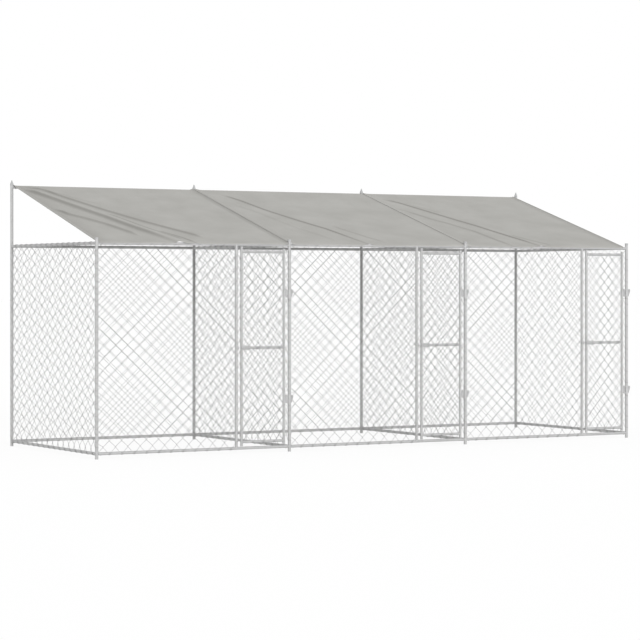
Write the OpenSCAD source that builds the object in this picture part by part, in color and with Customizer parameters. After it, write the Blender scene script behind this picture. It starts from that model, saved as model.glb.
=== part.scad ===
// Outdoor dog kennel run: bays of tube and diagonal mesh side by side, under a sloping fabric roof.
// Millimetres. +X runs along the bays, +Y goes to the back and +Z up.
// The origin is on the ground, in the middle of the run.

/* [Layout] */
// Number of bays side by side
bays = 3; // [1:1:3]
// Width of a bay, from post axis to post axis
bay_w = 2000; // [1500:10:2400]
// Depth of the run, from front post axis to back post axis
depth = 2000; // [1500:10:2400]

/* [Heights] */
// Height of the bottom rails' axes over the ground
bottom_z = 50; // [40:1:100]
// Bottom rail axis to top rail axis
wall_h = 1910; // [1750:10:2200]
// Ridge rail's axis over the top rails' axes
ridge_rise = 580; // [300:5:800]
// Top of a front post, with its cap, over the front top rail's axis
front_post_rise = 52; // [50:1:120]
// Tip of a back post's cap over the ridge rail's axis
back_post_rise = 70; // [70:1:120]

/* [Tubes] */
// Outside diameter of the posts
post_d = 30; // [28:0.5:42]
// Wall of the posts
post_wall = 1.5; // [1:0.1:3]
// Outside diameter of the rails and jambs
rail_d = 28; // [24:0.5:30]
// Wall of the rails and jambs
rail_wall = 1.5; // [1:0.1:2.5]
// Outside diameter of the door tubes
door_d = 25; // [20:0.5:28]
// Wall of the door tubes
door_wall = 1.2; // [1:0.1:2]

/* [Tube joints] */
// Length of a spigot, from the tube that carries it
spigot_l = 60; // [40:1:100]
// Wall of a spigot
spigot_wall = 1.5; // [1:0.1:2.5]
// Gap all round between a spigot and the tube that slides over it
spigot_gap = 0.25; // [0.15:0.05:0.4]
// Gap between a seated piece and its seat
seat_gap = 0.2; // [0.1:0.05:0.3]
// Diameter of a rail screw's shank
screw_d = 5; // [4:0.1:6]
// Diameter of a rail screw's head
screw_head_d = 9; // [8:0.1:12]
// Height of a rail screw's head
screw_head_h = 3; // [2:0.1:4]
// Rail screw's axis from the surface of the tube that carries the rail
screw_in = 25; // [18:1:36]
// Length of a rail screw past the spigot's wall
screw_tip = 4; // [2:0.5:6]

/* [Post caps] */
// Wall of a post cap
cap_wall = 1.5; // [1:0.1:3]
// Height of a post cap's skirt
cap_skirt = 14; // [10:1:14]
// Thickness of a flat cap's top
cap_top = 3; // [2:0.5:6]
// Height of a pointed cap's tip over its skirt
cap_point = 40; // [15:1:40]
// Radius at the very tip of a pointed cap
cap_tip_r = 3; // [1:0.5:5]

/* [Nets] */
// Thickness of a net's wire
wire_d = 3; // [2:0.1:5]
// Gap between the two layers of crossing wires
layer_gap = 0.2; // [0.1:0.05:0.4]
// Gap between a net's wire ends and the tubes around it
net_gap = 0.3; // [0.2:0.05:0.5]
// Diamonds across a back or cross net
wall_net_columns = 11; // [6:1:11]
// Diamonds across a fixed front net
front_net_columns = 8; // [4:1:11]
// Diamonds up a back, cross or front net
wall_net_rows = 12; // [6:1:12]
// Diamonds across a door net
door_net_columns = 3; // [2:1:6]
// Diamonds up each half of a door net
door_net_rows = 5; // [3:1:8]

/* [Doors] */
// Width of a door, from stile axis to stile axis
door_w = 454; // [400:1:700]
// Hinge stile's axis from the axis of the post that carries the door
hinge_stile_x = 60; // [58:1:75]
// Jamb's axis from the closing stile's axis
jamb_x = 56; // [54:1:70]
// Bottom door rail's axis over the bottom rail's axis
door_rail_low = 58; // [50:1:100]
// Middle door rail's axis over the bottom rail's axis
door_rail_mid = 940; // [800:1:1100]
// Top door rail's axis under the top rail's axis
door_rail_top = 68; // [64:1:100]
// Gap above and below a closing stile
closing_stile_gap = 4; // [3:0.5:8]
// Hinge stile's length past the door rails' axes
hinge_stile_over = 33; // [25:1:33]
// Thickness of a stile's end plug outside the tube
plug_top = 2; // [1:0.5:4]
// Length of a stile's end plug inside the tube
plug_l = 15; // [8:1:25]

/* [Hinges] */
// Height of the lower hinges' middle over the ground
hinge_low_z = 500; // [400:5:700]
// Height of the upper hinges' middle over the ground
hinge_high_z = 1500; // [1300:5:1600]
// Height of a hinge band
band_h = 75; // [50:1:90]
// Thickness of a hinge band
band_t = 3; // [2:0.1:4]
// Hinge pin's axis from the post's axis
pin_x = 33; // [32:0.5:36]
// Diameter of a hinge pin
pin_d = 8; // [6:0.1:9]
// Diameter of a hinge pin's head
pin_head_d = 12; // [11:0.1:15]
// Height of a hinge pin's head
pin_head_h = 3; // [2:0.1:5]
// Radial gap between a hinge pin and a hinge eye
run_gap = 0.05; // [0.02:0.01:0.09]
// Outside diameter of a hinge eye and width of its lugs
eye_d = 16; // [13:0.1:17]
// Thickness of the two lugs that hold a hinge pin
lug_t = 10; // [6:0.5:14]
// Gap between a hinge eye's ends and its lugs
eye_gap = 0.3; // [0.2:0.05:0.6]
// Thickness of the strap from a hinge eye to its stile
strap_t = 8; // [4:0.5:12]
// Length of a band's clamp flange at its top, from the post's surface
flange_l = 22; // [18:0.5:26]
// Length of a band's clamp flange at its lower end, from the post's surface
flange_low_l = 6; // [5:0.5:17]
// Height of the straight outer edge of a clamp flange, above its taper
flange_top_h = 22; // [14:1:40]
// Thickness of a band's clamp flange
flange_t = 3; // [2:0.1:4]
// Gap between a band's two clamp flanges
flange_gap = 2; // [1:0.1:4]
// Diameter of a clamp bolt
clamp_bolt_d = 6; // [5:0.1:7]
// Width across the corners of a clamp bolt's head and nut
clamp_hex_d = 11.5; // [10:0.1:13]
// Height of a clamp bolt's head
clamp_head_h = 4; // [3:0.1:6]
// Height of a clamp bolt's nut
clamp_nut_h = 5; // [3:0.1:6]
// Length of a clamp bolt past its nut
clamp_bolt_tip = 4; // [2:0.5:6]

/* [Slide bolts] */
// Diameter of a slide bolt's rod
rod_d = 10; // [8:0.1:12]
// Travel of a slide bolt
rod_travel = 50; // [45:1:54]
// Rod's axis from the front of its back plate
rod_stand = 8; // [7:0.5:12]
// Length of each guide that holds the rod
guide_l = 16; // [10:1:25]
// Wall of a guide round the rod
guide_wall = 3; // [2:0.1:5]
// Thickness of the back plates of housing and keeper
plate_t = 2.5; // [2:0.1:4]
// Height of the back plates of housing and keeper
plate_h = 40; // [30:1:60]
// Diameter of a slide bolt's knob
knob_d = 9; // [7:0.1:12]
// Length of a slide bolt's knob, from the rod's axis
knob_l = 30; // [20:1:45]
// Room between the knob and a guide at each end of the travel
knob_gap = 2; // [1:0.5:5]
// Start of the housing from the closing stile's axis, towards the jamb
housing_over = 10; // [8:0.5:12]
// Length of a keeper
keeper_l = 36; // [30:1:40]
// Radial gap between the rod and its keeper
keeper_gap = 0.7; // [0.4:0.1:1.5]

/* [Roof] */
// Thickness of a roof sheet
sheet_t = 2; // [1.5:0.1:3]
// Gap between a roof sheet and the rails under it
sheet_gap = 0.3; // [0.2:0.05:0.5]
// Gap between two roof sheets along a divider
sheet_seam = 2; // [1:0.5:6]
// Room between a roof sheet and the posts at its corners
sheet_post_gap = 3; // [2:0.5:8]
// Bare length of ridge rail at the left end of the roof
ridge_bare = 45; // [20:1:200]
// Depth of a roof sheet's sag half way down
sheet_sag = 18; // [0:1:40]
// Height of a roof sheet's diagonal fold where it meets the front edge
fold_h = 16; // [0:1:30]
// Place of the fold along the ridge, as a share of the sheet's width
fold_ridge_share = 0.12; // [0.05:0.01:0.4]
// Place of the fold along the front edge, as a share of the sheet's width
fold_front_share = 0.43; // [0.2:0.01:0.7]
// How far a roof sheet wraps below the top of the ridge rail at the back, in degrees
ridge_wrap = 120; // [90:30:150]
// How far a roof sheet goes over the top of the front rail, in degrees
front_wrap = 60; // [30:30:60]

/* [Hidden] */
$fn = 48;
// Overlap that carries a cut clean through a surface
past = 1;
steel_colour = [0.72, 0.73, 0.74];
wire_colour = [0.66, 0.67, 0.68];
fabric_colour = [0.70, 0.69, 0.66];
plastic_colour = [0.58, 0.59, 0.60];

post_r = post_d / 2;
front_y = -depth / 2;
back_y = depth / 2;
top_z = bottom_z + wall_h;
ridge_z = top_z + ridge_rise;

cap_d = post_d + 2 * seat_gap + 2 * cap_wall;
front_post_l = top_z + front_post_rise - cap_top - seat_gap;
back_cap_z = ridge_z + back_post_rise - cap_point - cap_skirt;
back_post_l = back_cap_z + cap_skirt - seat_gap;

// Height that a net fills between two rails, and room for the hinge bands at the front posts
net_h = wall_h - rail_d - 2 * net_gap;
net_z = bottom_z + rail_d / 2 + net_gap;
band_r = post_r + seat_gap + band_t;
net_front_clear = band_r + net_gap;
net_back_clear = post_r + net_gap;

// Doors, measured along X from the axis of the post that carries them
closing_stile_x = hinge_stile_x + door_w;
door_jamb_x = closing_stile_x + jamb_x;
closing_stile_z = bottom_z + rail_d / 2 + closing_stile_gap;
closing_stile_l = wall_h - rail_d - 2 * closing_stile_gap;
door_low_z = bottom_z + door_rail_low;
door_mid_z = bottom_z + door_rail_mid;
door_top_z = top_z - door_rail_top;
hinge_stile_z = door_low_z - hinge_stile_over;
hinge_stile_l = door_top_z - door_low_z + 2 * hinge_stile_over;
hinge_zs = [hinge_low_z, hinge_high_z];

// Clamp flanges point to the front, half way between the mesh beside the post and the door's path
flange_turn = -45;
flange_start = band_r - band_t / 2;
flange_r = post_r + flange_l;
flange_low_r = post_r + flange_low_l;
clamp_bolt_r = (band_r + flange_r) / 2;
clamp_bolt_z = (band_h - flange_top_h) / 2;
flange_face = flange_gap / 2 + flange_t;
eye_h = band_h - 2 * lug_t - 2 * eye_gap;

// Slide bolt: its plates stand on the front of the door's tubes, and its keeper on the jamb
door_plate_y = front_y - door_d / 2 - seat_gap;
rod_y = door_plate_y - plate_t - rod_stand;
jamb_plate_y = front_y - rail_d / 2 - seat_gap;
guide_d = rod_d + 2 * run_gap + 2 * guide_wall;
guide_room = rod_travel + knob_d + 2 * knob_gap;
housing_l = 2 * guide_l + guide_room;
rod_l = housing_l + rod_travel;

// Room for a screw's shank in the holes that it goes through
hole_d = screw_d + 2 * seat_gap;

// Roof sheet: it goes round a rail in flat steps, which clear the rail at their middles
wrap_step = 30;
sheet_r = (rail_d / 2 + sheet_gap) / cos(wrap_step / 2) + sheet_t / 2;
slope_turn = 90 + atan2(ridge_rise, depth);
slope_shares = [0, 0.08, 0.2, 0.35, 0.5, 0.65, 0.8, 0.92, 1];
sheet_columns = 12;
fold_column = 5;
fold_reach = 3;

// X of a post's axis, counted from 1 at the left
function post_x(i) = (i - 1 - bays / 2) * bay_w;

// X of the post that carries a bay's door
function door_post_x(i) = post_x(i + 1);

// Each run is where a rail starts, its turn about Z and its length
function runs_along(y, z) = [for (i = [1:bays]) [[post_x(i), y, z], 0, bay_w]];
function runs_across(z) = [for (i = [1:bays + 1]) [[post_x(i), front_y, z], 90, depth]];

front_bottom_runs = runs_along(front_y, bottom_z);
front_top_runs = runs_along(front_y, top_z);
back_bottom_runs = runs_along(back_y, bottom_z);
back_top_runs = runs_along(back_y, top_z);
ridge_runs = runs_along(back_y, ridge_z);
cross_bottom_runs = runs_across(bottom_z);
cross_top_runs = runs_across(top_z);
corner_runs = concat(front_bottom_runs, front_top_runs, back_bottom_runs, back_top_runs,
    cross_bottom_runs, cross_top_runs);

// A tube that stands on the ground plane
module tube(d, wall, l) {
    difference() {
        cylinder(d = d, h = l);
        translate([0, 0, -past]) cylinder(d = d - 2 * wall, h = l + 2 * past);
    }
}

// The wedge of space that a rail may fill beside the rails square to it, from one post to the next
module mitre(reach, l) {
    linear_extrude(height = 2 * reach, center = true)
        polygon([[seat_gap, 0], [seat_gap + reach, -reach], [l - seat_gap - reach, -reach],
            [l - seat_gap, 0], [l - seat_gap - reach, reach], [seat_gap + reach, reach]]);
}

// A tube along +X between two upright tubes, with its ends shaped to them
module set_in_tube(d, wall, l, carrier_d, mitred) {
    reach = d / 2 + past;
    difference() {
        intersection() {
            rotate([0, 90, 0]) tube(d, wall, l);
            if (mitred) mitre(reach, l);
        }
        for (x = [0, l]) translate([x, 0, -reach]) cylinder(d = carrier_d + 2 * seat_gap, h = 2 * reach);
    }
}

// A screw's hole through one wall of a tube along +X, in the direction that turn gives
module screw_hole(x, turn) {
    translate([x, 0, 0]) rotate([turn, 0, 0]) translate([0, 0, -rail_d]) cylinder(d = hole_d, h = rail_d);
}

// A rail or jamb with a screw's hole at each end
module rail(l, carrier_d, turn, mitred) {
    hole_x = carrier_d / 2 + screw_in;
    difference() {
        set_in_tube(rail_d, rail_wall, l, carrier_d, mitred);
        screw_hole(hole_x, turn);
        screw_hole(l - hole_x, turn);
    }
}

// The short tube that a rail's end slides over
module spigot(carrier_d, turn, mitred) {
    d = rail_d - 2 * rail_wall - 2 * spigot_gap;
    l = carrier_d / 2 + spigot_l;
    reach = d / 2 + past;
    difference() {
        intersection() {
            rotate([0, 90, 0]) tube(d, spigot_wall, l);
            if (mitred) mitre(reach, 2 * l);
        }
        translate([0, 0, -reach]) cylinder(d = carrier_d + 2 * seat_gap, h = 2 * reach);
        screw_hole(carrier_d / 2 + screw_in, turn);
    }
}

// The screw that locks a rail to its spigot
module rail_screw(carrier_d, turn) {
    head_z = rail_d / 2 + seat_gap + screw_head_h;
    shank_l = screw_head_h + seat_gap + rail_wall + spigot_gap + spigot_wall + screw_tip;
    translate([carrier_d / 2 + screw_in, 0, 0]) rotate([turn, 0, 0]) translate([0, 0, -head_z]) {
        cylinder(d = screw_head_d, h = screw_head_h);
        cylinder(d = screw_d, h = shank_l);
    }
}

// Puts a piece at both ends of a run
module at_run_ends(run) {
    translate(run[0]) rotate([0, 0, run[1]]) {
        children();
        translate([run[2], 0, 0]) mirror([1, 0, 0]) children();
    }
}

// Puts a piece at the foot of each jamb, turned so that +X points up
module at_jambs() {
    for (i = [1:bays])
        translate([door_post_x(i) - door_jamb_x, front_y, bottom_z]) rotate([0, -90, 0]) children();
}

// Turn of a jamb's screws, which go in from the back
jamb_turn = 90;

module rails(runs, mitred) {
    color(steel_colour)
        for (run = runs) translate(run[0]) rotate([0, 0, run[1]]) rail(run[2], post_d, 0, mitred);
}

module front_post(i) {
    color(steel_colour) translate([post_x(i), front_y, 0]) tube(post_d, post_wall, front_post_l);
}

module back_post(i) {
    color(steel_colour) translate([post_x(i), back_y, 0]) tube(post_d, post_wall, back_post_l);
}

module front_post_caps() {
    color(plastic_colour)
        for (i = [1:bays + 1])
            translate([post_x(i), front_y, top_z + front_post_rise - cap_top - cap_skirt]) difference() {
                cylinder(d = cap_d, h = cap_skirt + cap_top);
                translate([0, 0, -past]) cylinder(d = post_d + 2 * seat_gap, h = cap_skirt + past);
            }
}

// Half profile of a pointed cap: straight skirt, then a straight taper to a small blunt tip
pointed_cap_h = cap_skirt + cap_point;
pointed_cap_profile = [
    [0, 0], [cap_d / 2, 0], [cap_d / 2, cap_skirt], [cap_tip_r, pointed_cap_h - cap_tip_r],
    [cap_tip_r * sin(45), pointed_cap_h - cap_tip_r * (1 - cos(45))], [0, pointed_cap_h]
];

module back_post_caps() {
    color(plastic_colour)
        for (i = [1:bays + 1])
            translate([post_x(i), back_y, back_cap_z]) difference() {
                rotate_extrude() polygon(pointed_cap_profile);
                translate([0, 0, -past]) cylinder(d = post_d + 2 * seat_gap, h = cap_skirt + past);
            }
}

module front_bottom_rails() { rails(front_bottom_runs, true); }
module front_top_rails() { rails(front_top_runs, true); }
module back_bottom_rails() { rails(back_bottom_runs, true); }
module back_top_rails() { rails(back_top_runs, true); }
module cross_bottom_rails() { rails(cross_bottom_runs, true); }
module cross_top_rails() { rails(cross_top_runs, true); }
module ridge_rails() { rails(ridge_runs, false); }

module door_jambs() {
    color(steel_colour) at_jambs() rail(wall_h, rail_d, jamb_turn, false);
}

module rail_spigots() {
    color(steel_colour) {
        for (run = corner_runs) at_run_ends(run) spigot(post_d, 0, true);
        for (run = ridge_runs) at_run_ends(run) spigot(post_d, 0, false);
        at_jambs() at_run_ends([[0, 0, 0], 0, wall_h]) spigot(rail_d, jamb_turn, false);
    }
}

module rail_screws() {
    color(wire_colour) {
        for (run = concat(corner_runs, ridge_runs)) at_run_ends(run) rail_screw(post_d, 0);
        at_jambs() at_run_ends([[0, 0, 0], 0, wall_h]) rail_screw(rail_d, jamb_turn);
    }
}

// One layer of slanting wires over a rectangle, each cut off along the side that it ends on
module wires(w, h, columns, rows) {
    pitch = w / columns;
    lean = pitch * rows / h;
    half_u = wire_d / 2 * sqrt(1 + lean * lean);
    half_v = half_u / lean;
    for (k = [-rows:columns - 1]) {
        foot = (k + 0.5) * pitch;
        head = foot + lean * h;
        from_left = -foot / lean;
        to_right = (w - foot) / lean;
        foot_right = foot > 0 ? [foot + half_u, 0] : [0, from_left - half_v];
        foot_left = foot > 0 ? [foot - half_u, 0] : [0, from_left + half_v];
        head_right = head < w ? [head + half_u, h] : [w, to_right - half_v];
        head_left = head < w ? [head - half_u, h] : [w, to_right + half_v];
        linear_extrude(height = wire_d) polygon([foot_right, head_right, head_left, foot_left]);
    }
}

// A flat net in the XY plane: a layer of wires that rise to the right, and one that fall
module net(w, h, columns, rows) {
    translate([0, 0, layer_gap / 2]) wires(w, h, columns, rows);
    translate([w, 0, -layer_gap / 2]) rotate([0, 180, 0]) wires(w, h, columns, rows);
}

module front_net(i) {
    w = bay_w - door_jamb_x - rail_d / 2 - net_gap - net_front_clear;
    color(wire_colour) translate([post_x(i) + net_front_clear, front_y, net_z]) rotate([90, 0, 0])
        net(w, net_h, front_net_columns, wall_net_rows);
}

module back_net(i) {
    color(wire_colour) translate([post_x(i) + net_back_clear, back_y, net_z]) rotate([90, 0, 0])
        net(bay_w - 2 * net_back_clear, net_h, wall_net_columns, wall_net_rows);
}

module cross_net(i) {
    color(wire_colour) translate([post_x(i), front_y + net_front_clear, net_z]) rotate([90, 0, 90])
        net(depth - net_front_clear - net_back_clear, net_h, wall_net_columns, wall_net_rows);
}

// Rows of a roof sheet from the back of the ridge rail to the front edge, each with its Y, its Z,
// the direction that it faces and its share of the way down the slope
sheet_rows = concat(
    [for (a = [90 - ridge_wrap:wrap_step:90]) [back_y + sheet_r * cos(a), ridge_z + sheet_r * sin(a), a, 0]],
    [for (s = slope_shares) [back_y - s * depth + sheet_r * cos(slope_turn),
        ridge_z - s * ridge_rise + sheet_r * sin(slope_turn), slope_turn, s]],
    [for (t = [wrap_step:wrap_step:front_wrap]) let (a = slope_turn + t)
        [front_y + sheet_r * cos(a), top_z + sheet_r * sin(a), a, 1]]
);

// Room that a row of a sheet leaves at its two ends: past the posts, or half a seam between them
function by_post(row) = row[3] == 0 || row[3] == 1;
function sheet_end(row) = by_post(row) ? post_r + sheet_post_gap : sheet_seam / 2;
function first_end(row) = ridge_bare + (post_r + sheet_post_gap - ridge_bare) * row[3];

// Share of a sheet's width at a column, where one column follows the diagonal fold
function fold_share(row) = fold_ridge_share + (fold_front_share - fold_ridge_share) * row[3];
function column_share(row, c) = c < fold_column
    ? fold_share(row) * c / fold_column
    : fold_share(row) + (1 - fold_share(row)) * (c - fold_column) / (sheet_columns - fold_column);

// Height of a sheet over its slope: it sags between ridge and front, and stands up along the fold
function sheet_lift(row, c) =
    fold_h * row[3] * max(0, 1 - abs(c - fold_column) / fold_reach)
    - sheet_sag * sin(180 * row[3]) * sin(180 * column_share(row, c));

// A point of a sheet on its upper side, where side is 1, or its lower side, where side is -1
function sheet_point(i, row, c, side) =
    let (left = post_x(i) + (i == 1 ? first_end(row) : sheet_end(row)))
    let (right = post_x(i + 1) - sheet_end(row))
    let (x = left + (right - left) * column_share(row, c))
    let (out = side * sheet_t / 2 + sheet_lift(row, c))
    [x, row[0] + out * cos(row[2]), row[1] + out * sin(row[2])];

module roof_sheet(i) {
    across = sheet_columns + 1;
    down = len(sheet_rows);
    points = [for (side = [1, -1]) for (row = sheet_rows) for (c = [0:sheet_columns])
        sheet_point(i, row, c, side)];
    under = down * across;
    last = (down - 1) * across;
    top_faces = [for (r = [0:down - 2]) for (c = [0:sheet_columns - 1]) let (a = r * across + c)
        for (f = [[a, a + 1, a + across + 1], [a, a + across + 1, a + across]]) f];
    under_faces = [for (f = top_faces) [f[0] + under, f[2] + under, f[1] + under]];
    rim = concat(
        [for (c = [0:sheet_columns - 1]) [c + 1, c]],
        [for (r = [0:down - 2]) [r * across, (r + 1) * across]],
        [for (c = [0:sheet_columns - 1]) [last + c, last + c + 1]],
        [for (r = [0:down - 2]) [(r + 2) * across - 1, (r + 1) * across - 1]]
    );
    rim_faces = [for (e = rim) for (f = [[e[0], e[1], e[1] + under], [e[0], e[1] + under, e[0] + under]]) f];
    color(fabric_colour) polyhedron(points, concat(top_faces, under_faces, rim_faces));
}

// Puts a piece at both hinges of a bay's door, on the axis of the post that carries it
module at_hinges(i) {
    for (z = hinge_zs) translate([door_post_x(i), front_y, z]) children();
}

// The clamp flanges of a band as one plate along +X, long at the top and tapered below
module clamp_flanges() {
    rotate([90, 0, 0]) linear_extrude(height = 2 * flange_face, center = true)
        polygon([[flange_start, -band_h / 2], [flange_low_r, -band_h / 2],
            [flange_r, band_h / 2 - flange_top_h], [flange_r, band_h / 2], [flange_start, band_h / 2]]);
}

// A band round the post, with two lugs for the pin towards the door and a bolted clamp at the front
module hinge_band() {
    difference() {
        union() {
            cylinder(r = band_r, h = band_h, center = true);
            for (z = [-band_h / 2, band_h / 2 - lug_t]) translate([0, 0, z]) {
                translate([-pin_x, -eye_d / 2, 0]) cube([pin_x, eye_d, lug_t]);
                translate([-pin_x, 0, 0]) cylinder(d = eye_d, h = lug_t);
            }
            rotate([0, 0, flange_turn]) clamp_flanges();
        }
        cylinder(r = post_r + seat_gap, h = band_h + 2 * past, center = true);
        translate([-pin_x, 0, 0]) cylinder(d = pin_d + 2 * run_gap, h = band_h + 2 * past, center = true);
        rotate([0, 0, flange_turn]) {
            translate([0, -flange_gap / 2, -band_h]) cube([flange_r + past, flange_gap, 2 * band_h]);
            translate([clamp_bolt_r, 0, clamp_bolt_z]) rotate([90, 0, 0])
                cylinder(d = clamp_bolt_d + 2 * seat_gap, h = 2 * (flange_face + past), center = true);
        }
    }
}

module hinge_bands() {
    color(steel_colour) for (i = [1:bays]) at_hinges(i) hinge_band();
}

module hinge_pins() {
    color(wire_colour) for (i = [1:bays]) at_hinges(i) translate([-pin_x, 0, -band_h / 2 - pin_head_h]) {
        cylinder(d = pin_d, h = band_h + pin_head_h + seat_gap);
        translate([0, 0, band_h + pin_head_h + seat_gap]) cylinder(d = pin_head_d, h = pin_head_h);
    }
}

// Puts a piece at each clamp's bolt, with +Z along the bolt
module at_clamps() {
    for (i = [1:bays]) at_hinges(i) rotate([0, 0, flange_turn]) translate([clamp_bolt_r, 0, clamp_bolt_z])
        rotate([-90, 0, 0]) children();
}

module clamp_bolts() {
    head_z = -flange_face - seat_gap - clamp_head_h;
    shank_l = 2 * (flange_face + seat_gap) + clamp_head_h + clamp_nut_h + clamp_bolt_tip;
    color(wire_colour) at_clamps() translate([0, 0, head_z]) {
        cylinder(d = clamp_hex_d, h = clamp_head_h, $fn = 6);
        cylinder(d = clamp_bolt_d, h = shank_l);
    }
}

module clamp_nuts() {
    color(wire_colour) at_clamps() translate([0, 0, flange_face + seat_gap]) difference() {
        cylinder(d = clamp_hex_d, h = clamp_nut_h, $fn = 6);
        translate([0, 0, -past]) cylinder(d = clamp_bolt_d + 2 * seat_gap, h = clamp_nut_h + 2 * past);
    }
}

// Puts a piece on the axis of the closing stile of a bay's door, with Z counted from the ground
module at_door(i) {
    translate([door_post_x(i) - closing_stile_x, front_y, 0]) children();
}

module door_stiles(i) {
    color(steel_colour) at_door(i) {
        translate([0, 0, closing_stile_z + plug_top + seat_gap])
            tube(door_d, door_wall, closing_stile_l - 2 * (plug_top + seat_gap));
        translate([door_w, 0, hinge_stile_z + plug_top + seat_gap])
            tube(door_d, door_wall, hinge_stile_l - 2 * (plug_top + seat_gap));
    }
}

module door_rails(i) {
    color(steel_colour) at_door(i)
        for (z = [door_low_z, door_mid_z, door_top_z])
            translate([0, 0, z]) set_in_tube(door_d, door_wall, door_w, door_d, false);
}

// A plug in the lower end of a stile, with its stem up inside the tube
module stile_plug() {
    cylinder(d = door_d, h = plug_top);
    cylinder(d = door_d - 2 * door_wall - 2 * seat_gap, h = plug_top + plug_l);
}

module door_plugs(i) {
    stile_ends = [[0, closing_stile_z, closing_stile_l], [door_w, hinge_stile_z, hinge_stile_l]];
    color(plastic_colour) at_door(i) for (s = stile_ends) translate([s[0], 0, s[1]]) {
        stile_plug();
        translate([0, 0, s[2]]) mirror([0, 0, 1]) stile_plug();
    }
}

module door_net(i) {
    side = door_d / 2 + net_gap;
    color(wire_colour) at_door(i) for (z = [[door_low_z, door_mid_z], [door_mid_z, door_top_z]])
        translate([side, 0, z[0] + side]) rotate([90, 0, 0])
            net(door_w - 2 * side, z[1] - z[0] - 2 * side, door_net_columns, door_net_rows);
}

// The eye that turns on a hinge pin, with its strap welded to the hinge stile
module hinge_eye() {
    difference() {
        union() {
            translate([-pin_x, 0, 0]) cylinder(d = eye_d, h = eye_h, center = true);
            translate([-hinge_stile_x, -strap_t / 2, -eye_h / 2])
                cube([hinge_stile_x - pin_x, strap_t, eye_h]);
        }
        translate([-pin_x, 0, 0]) cylinder(d = pin_d + 2 * run_gap, h = band_h, center = true);
        translate([-hinge_stile_x, 0, 0]) cylinder(d = door_d + 2 * seat_gap, h = band_h, center = true);
    }
}

module hinge_eyes(i) {
    color(steel_colour) at_hinges(i) hinge_eye();
}

// A block along +X that holds the rod, from its back plate's front to past the rod's axis
module guide(l, bore_d, back_y_at) {
    difference() {
        union() {
            translate([0, rod_y, -guide_d / 2]) cube([l, back_y_at - rod_y, guide_d]);
            translate([0, rod_y, 0]) rotate([0, 90, 0]) cylinder(d = guide_d, h = l);
        }
        translate([-past, rod_y, 0]) rotate([0, 90, 0]) cylinder(d = bore_d, h = l + 2 * past);
    }
}

// Puts a piece at the door's edge, on the middle door rail's height
module at_latch(i) {
    translate([door_post_x(i) - closing_stile_x - housing_over, 0, door_mid_z]) children();
}

module bolt_housing(i) {
    color(steel_colour) at_latch(i) {
        translate([0, door_plate_y - plate_t, -plate_h / 2]) cube([housing_l, plate_t, plate_h]);
        for (x = [0, guide_l + guide_room])
            translate([x, 0, 0]) guide(guide_l, rod_d + 2 * run_gap, door_plate_y - plate_t / 2);
    }
}

// The rod rests drawn back, with its tip level with the housing
module slide_bolt(i) {
    color(wire_colour) at_latch(i) translate([0, rod_y, 0]) {
        rotate([0, 90, 0]) cylinder(d = rod_d, h = rod_l);
        translate([guide_l + guide_room - knob_gap - knob_d / 2, 0, 0]) rotate([90, 0, 0])
            cylinder(d = knob_d, h = knob_l);
    }
}

module bolt_keepers() {
    color(steel_colour) for (i = [1:bays])
        translate([door_post_x(i) - door_jamb_x - keeper_l / 2, 0, door_mid_z]) {
            translate([0, jamb_plate_y - plate_t, -plate_h / 2]) cube([keeper_l, plate_t, plate_h]);
            guide(keeper_l, rod_d + 2 * keeper_gap, jamb_plate_y - plate_t / 2);
        }
}

for (i = [1:bays + 1]) front_post(i);
for (i = [1:bays + 1]) back_post(i);
front_post_caps();
back_post_caps();
front_bottom_rails();
front_top_rails();
back_bottom_rails();
back_top_rails();
cross_bottom_rails();
cross_top_rails();
ridge_rails();
door_jambs();
rail_spigots();
rail_screws();
for (i = [1:bays]) front_net(i);
for (i = [1:bays]) back_net(i);
for (i = [1:bays + 1]) cross_net(i);
for (i = [1:bays]) roof_sheet(i);
hinge_bands();
hinge_pins();
clamp_bolts();
clamp_nuts();
bolt_keepers();
for (i = [1:bays]) door_stiles(i);
for (i = [1:bays]) door_rails(i);
for (i = [1:bays]) door_plugs(i);
for (i = [1:bays]) door_net(i);
for (i = [1:bays]) hinge_eyes(i);
for (i = [1:bays]) bolt_housing(i);
for (i = [1:bays]) slide_bolt(i);
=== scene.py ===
"""Looks of an outdoor dog kennel run: woven wire mesh, a creased fabric roof, welds and finishes.

Metres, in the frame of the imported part: +X runs along the bays, +Y goes to the back and +Z up.
Turns are in degrees. Bays and posts are counted from the left.
"""
import math
from dataclasses import dataclass, field

import bmesh
import bpy
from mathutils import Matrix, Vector


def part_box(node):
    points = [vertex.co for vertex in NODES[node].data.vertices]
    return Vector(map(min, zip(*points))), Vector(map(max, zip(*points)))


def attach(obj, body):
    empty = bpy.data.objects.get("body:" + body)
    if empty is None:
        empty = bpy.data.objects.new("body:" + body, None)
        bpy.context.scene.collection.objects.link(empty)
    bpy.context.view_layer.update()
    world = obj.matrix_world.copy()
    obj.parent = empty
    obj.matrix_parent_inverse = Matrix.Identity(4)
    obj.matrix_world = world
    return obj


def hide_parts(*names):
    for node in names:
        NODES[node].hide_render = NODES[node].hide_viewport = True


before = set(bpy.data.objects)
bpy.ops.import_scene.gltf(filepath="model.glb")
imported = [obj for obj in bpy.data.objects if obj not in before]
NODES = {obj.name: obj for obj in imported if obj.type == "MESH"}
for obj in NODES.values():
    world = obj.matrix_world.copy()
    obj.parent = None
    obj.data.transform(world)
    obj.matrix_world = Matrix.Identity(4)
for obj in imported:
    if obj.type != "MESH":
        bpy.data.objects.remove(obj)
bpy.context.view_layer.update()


def middle(node):
    low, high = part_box(node)
    return (low + high) / 2


def span(node):
    low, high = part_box(node)
    return high - low


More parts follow.
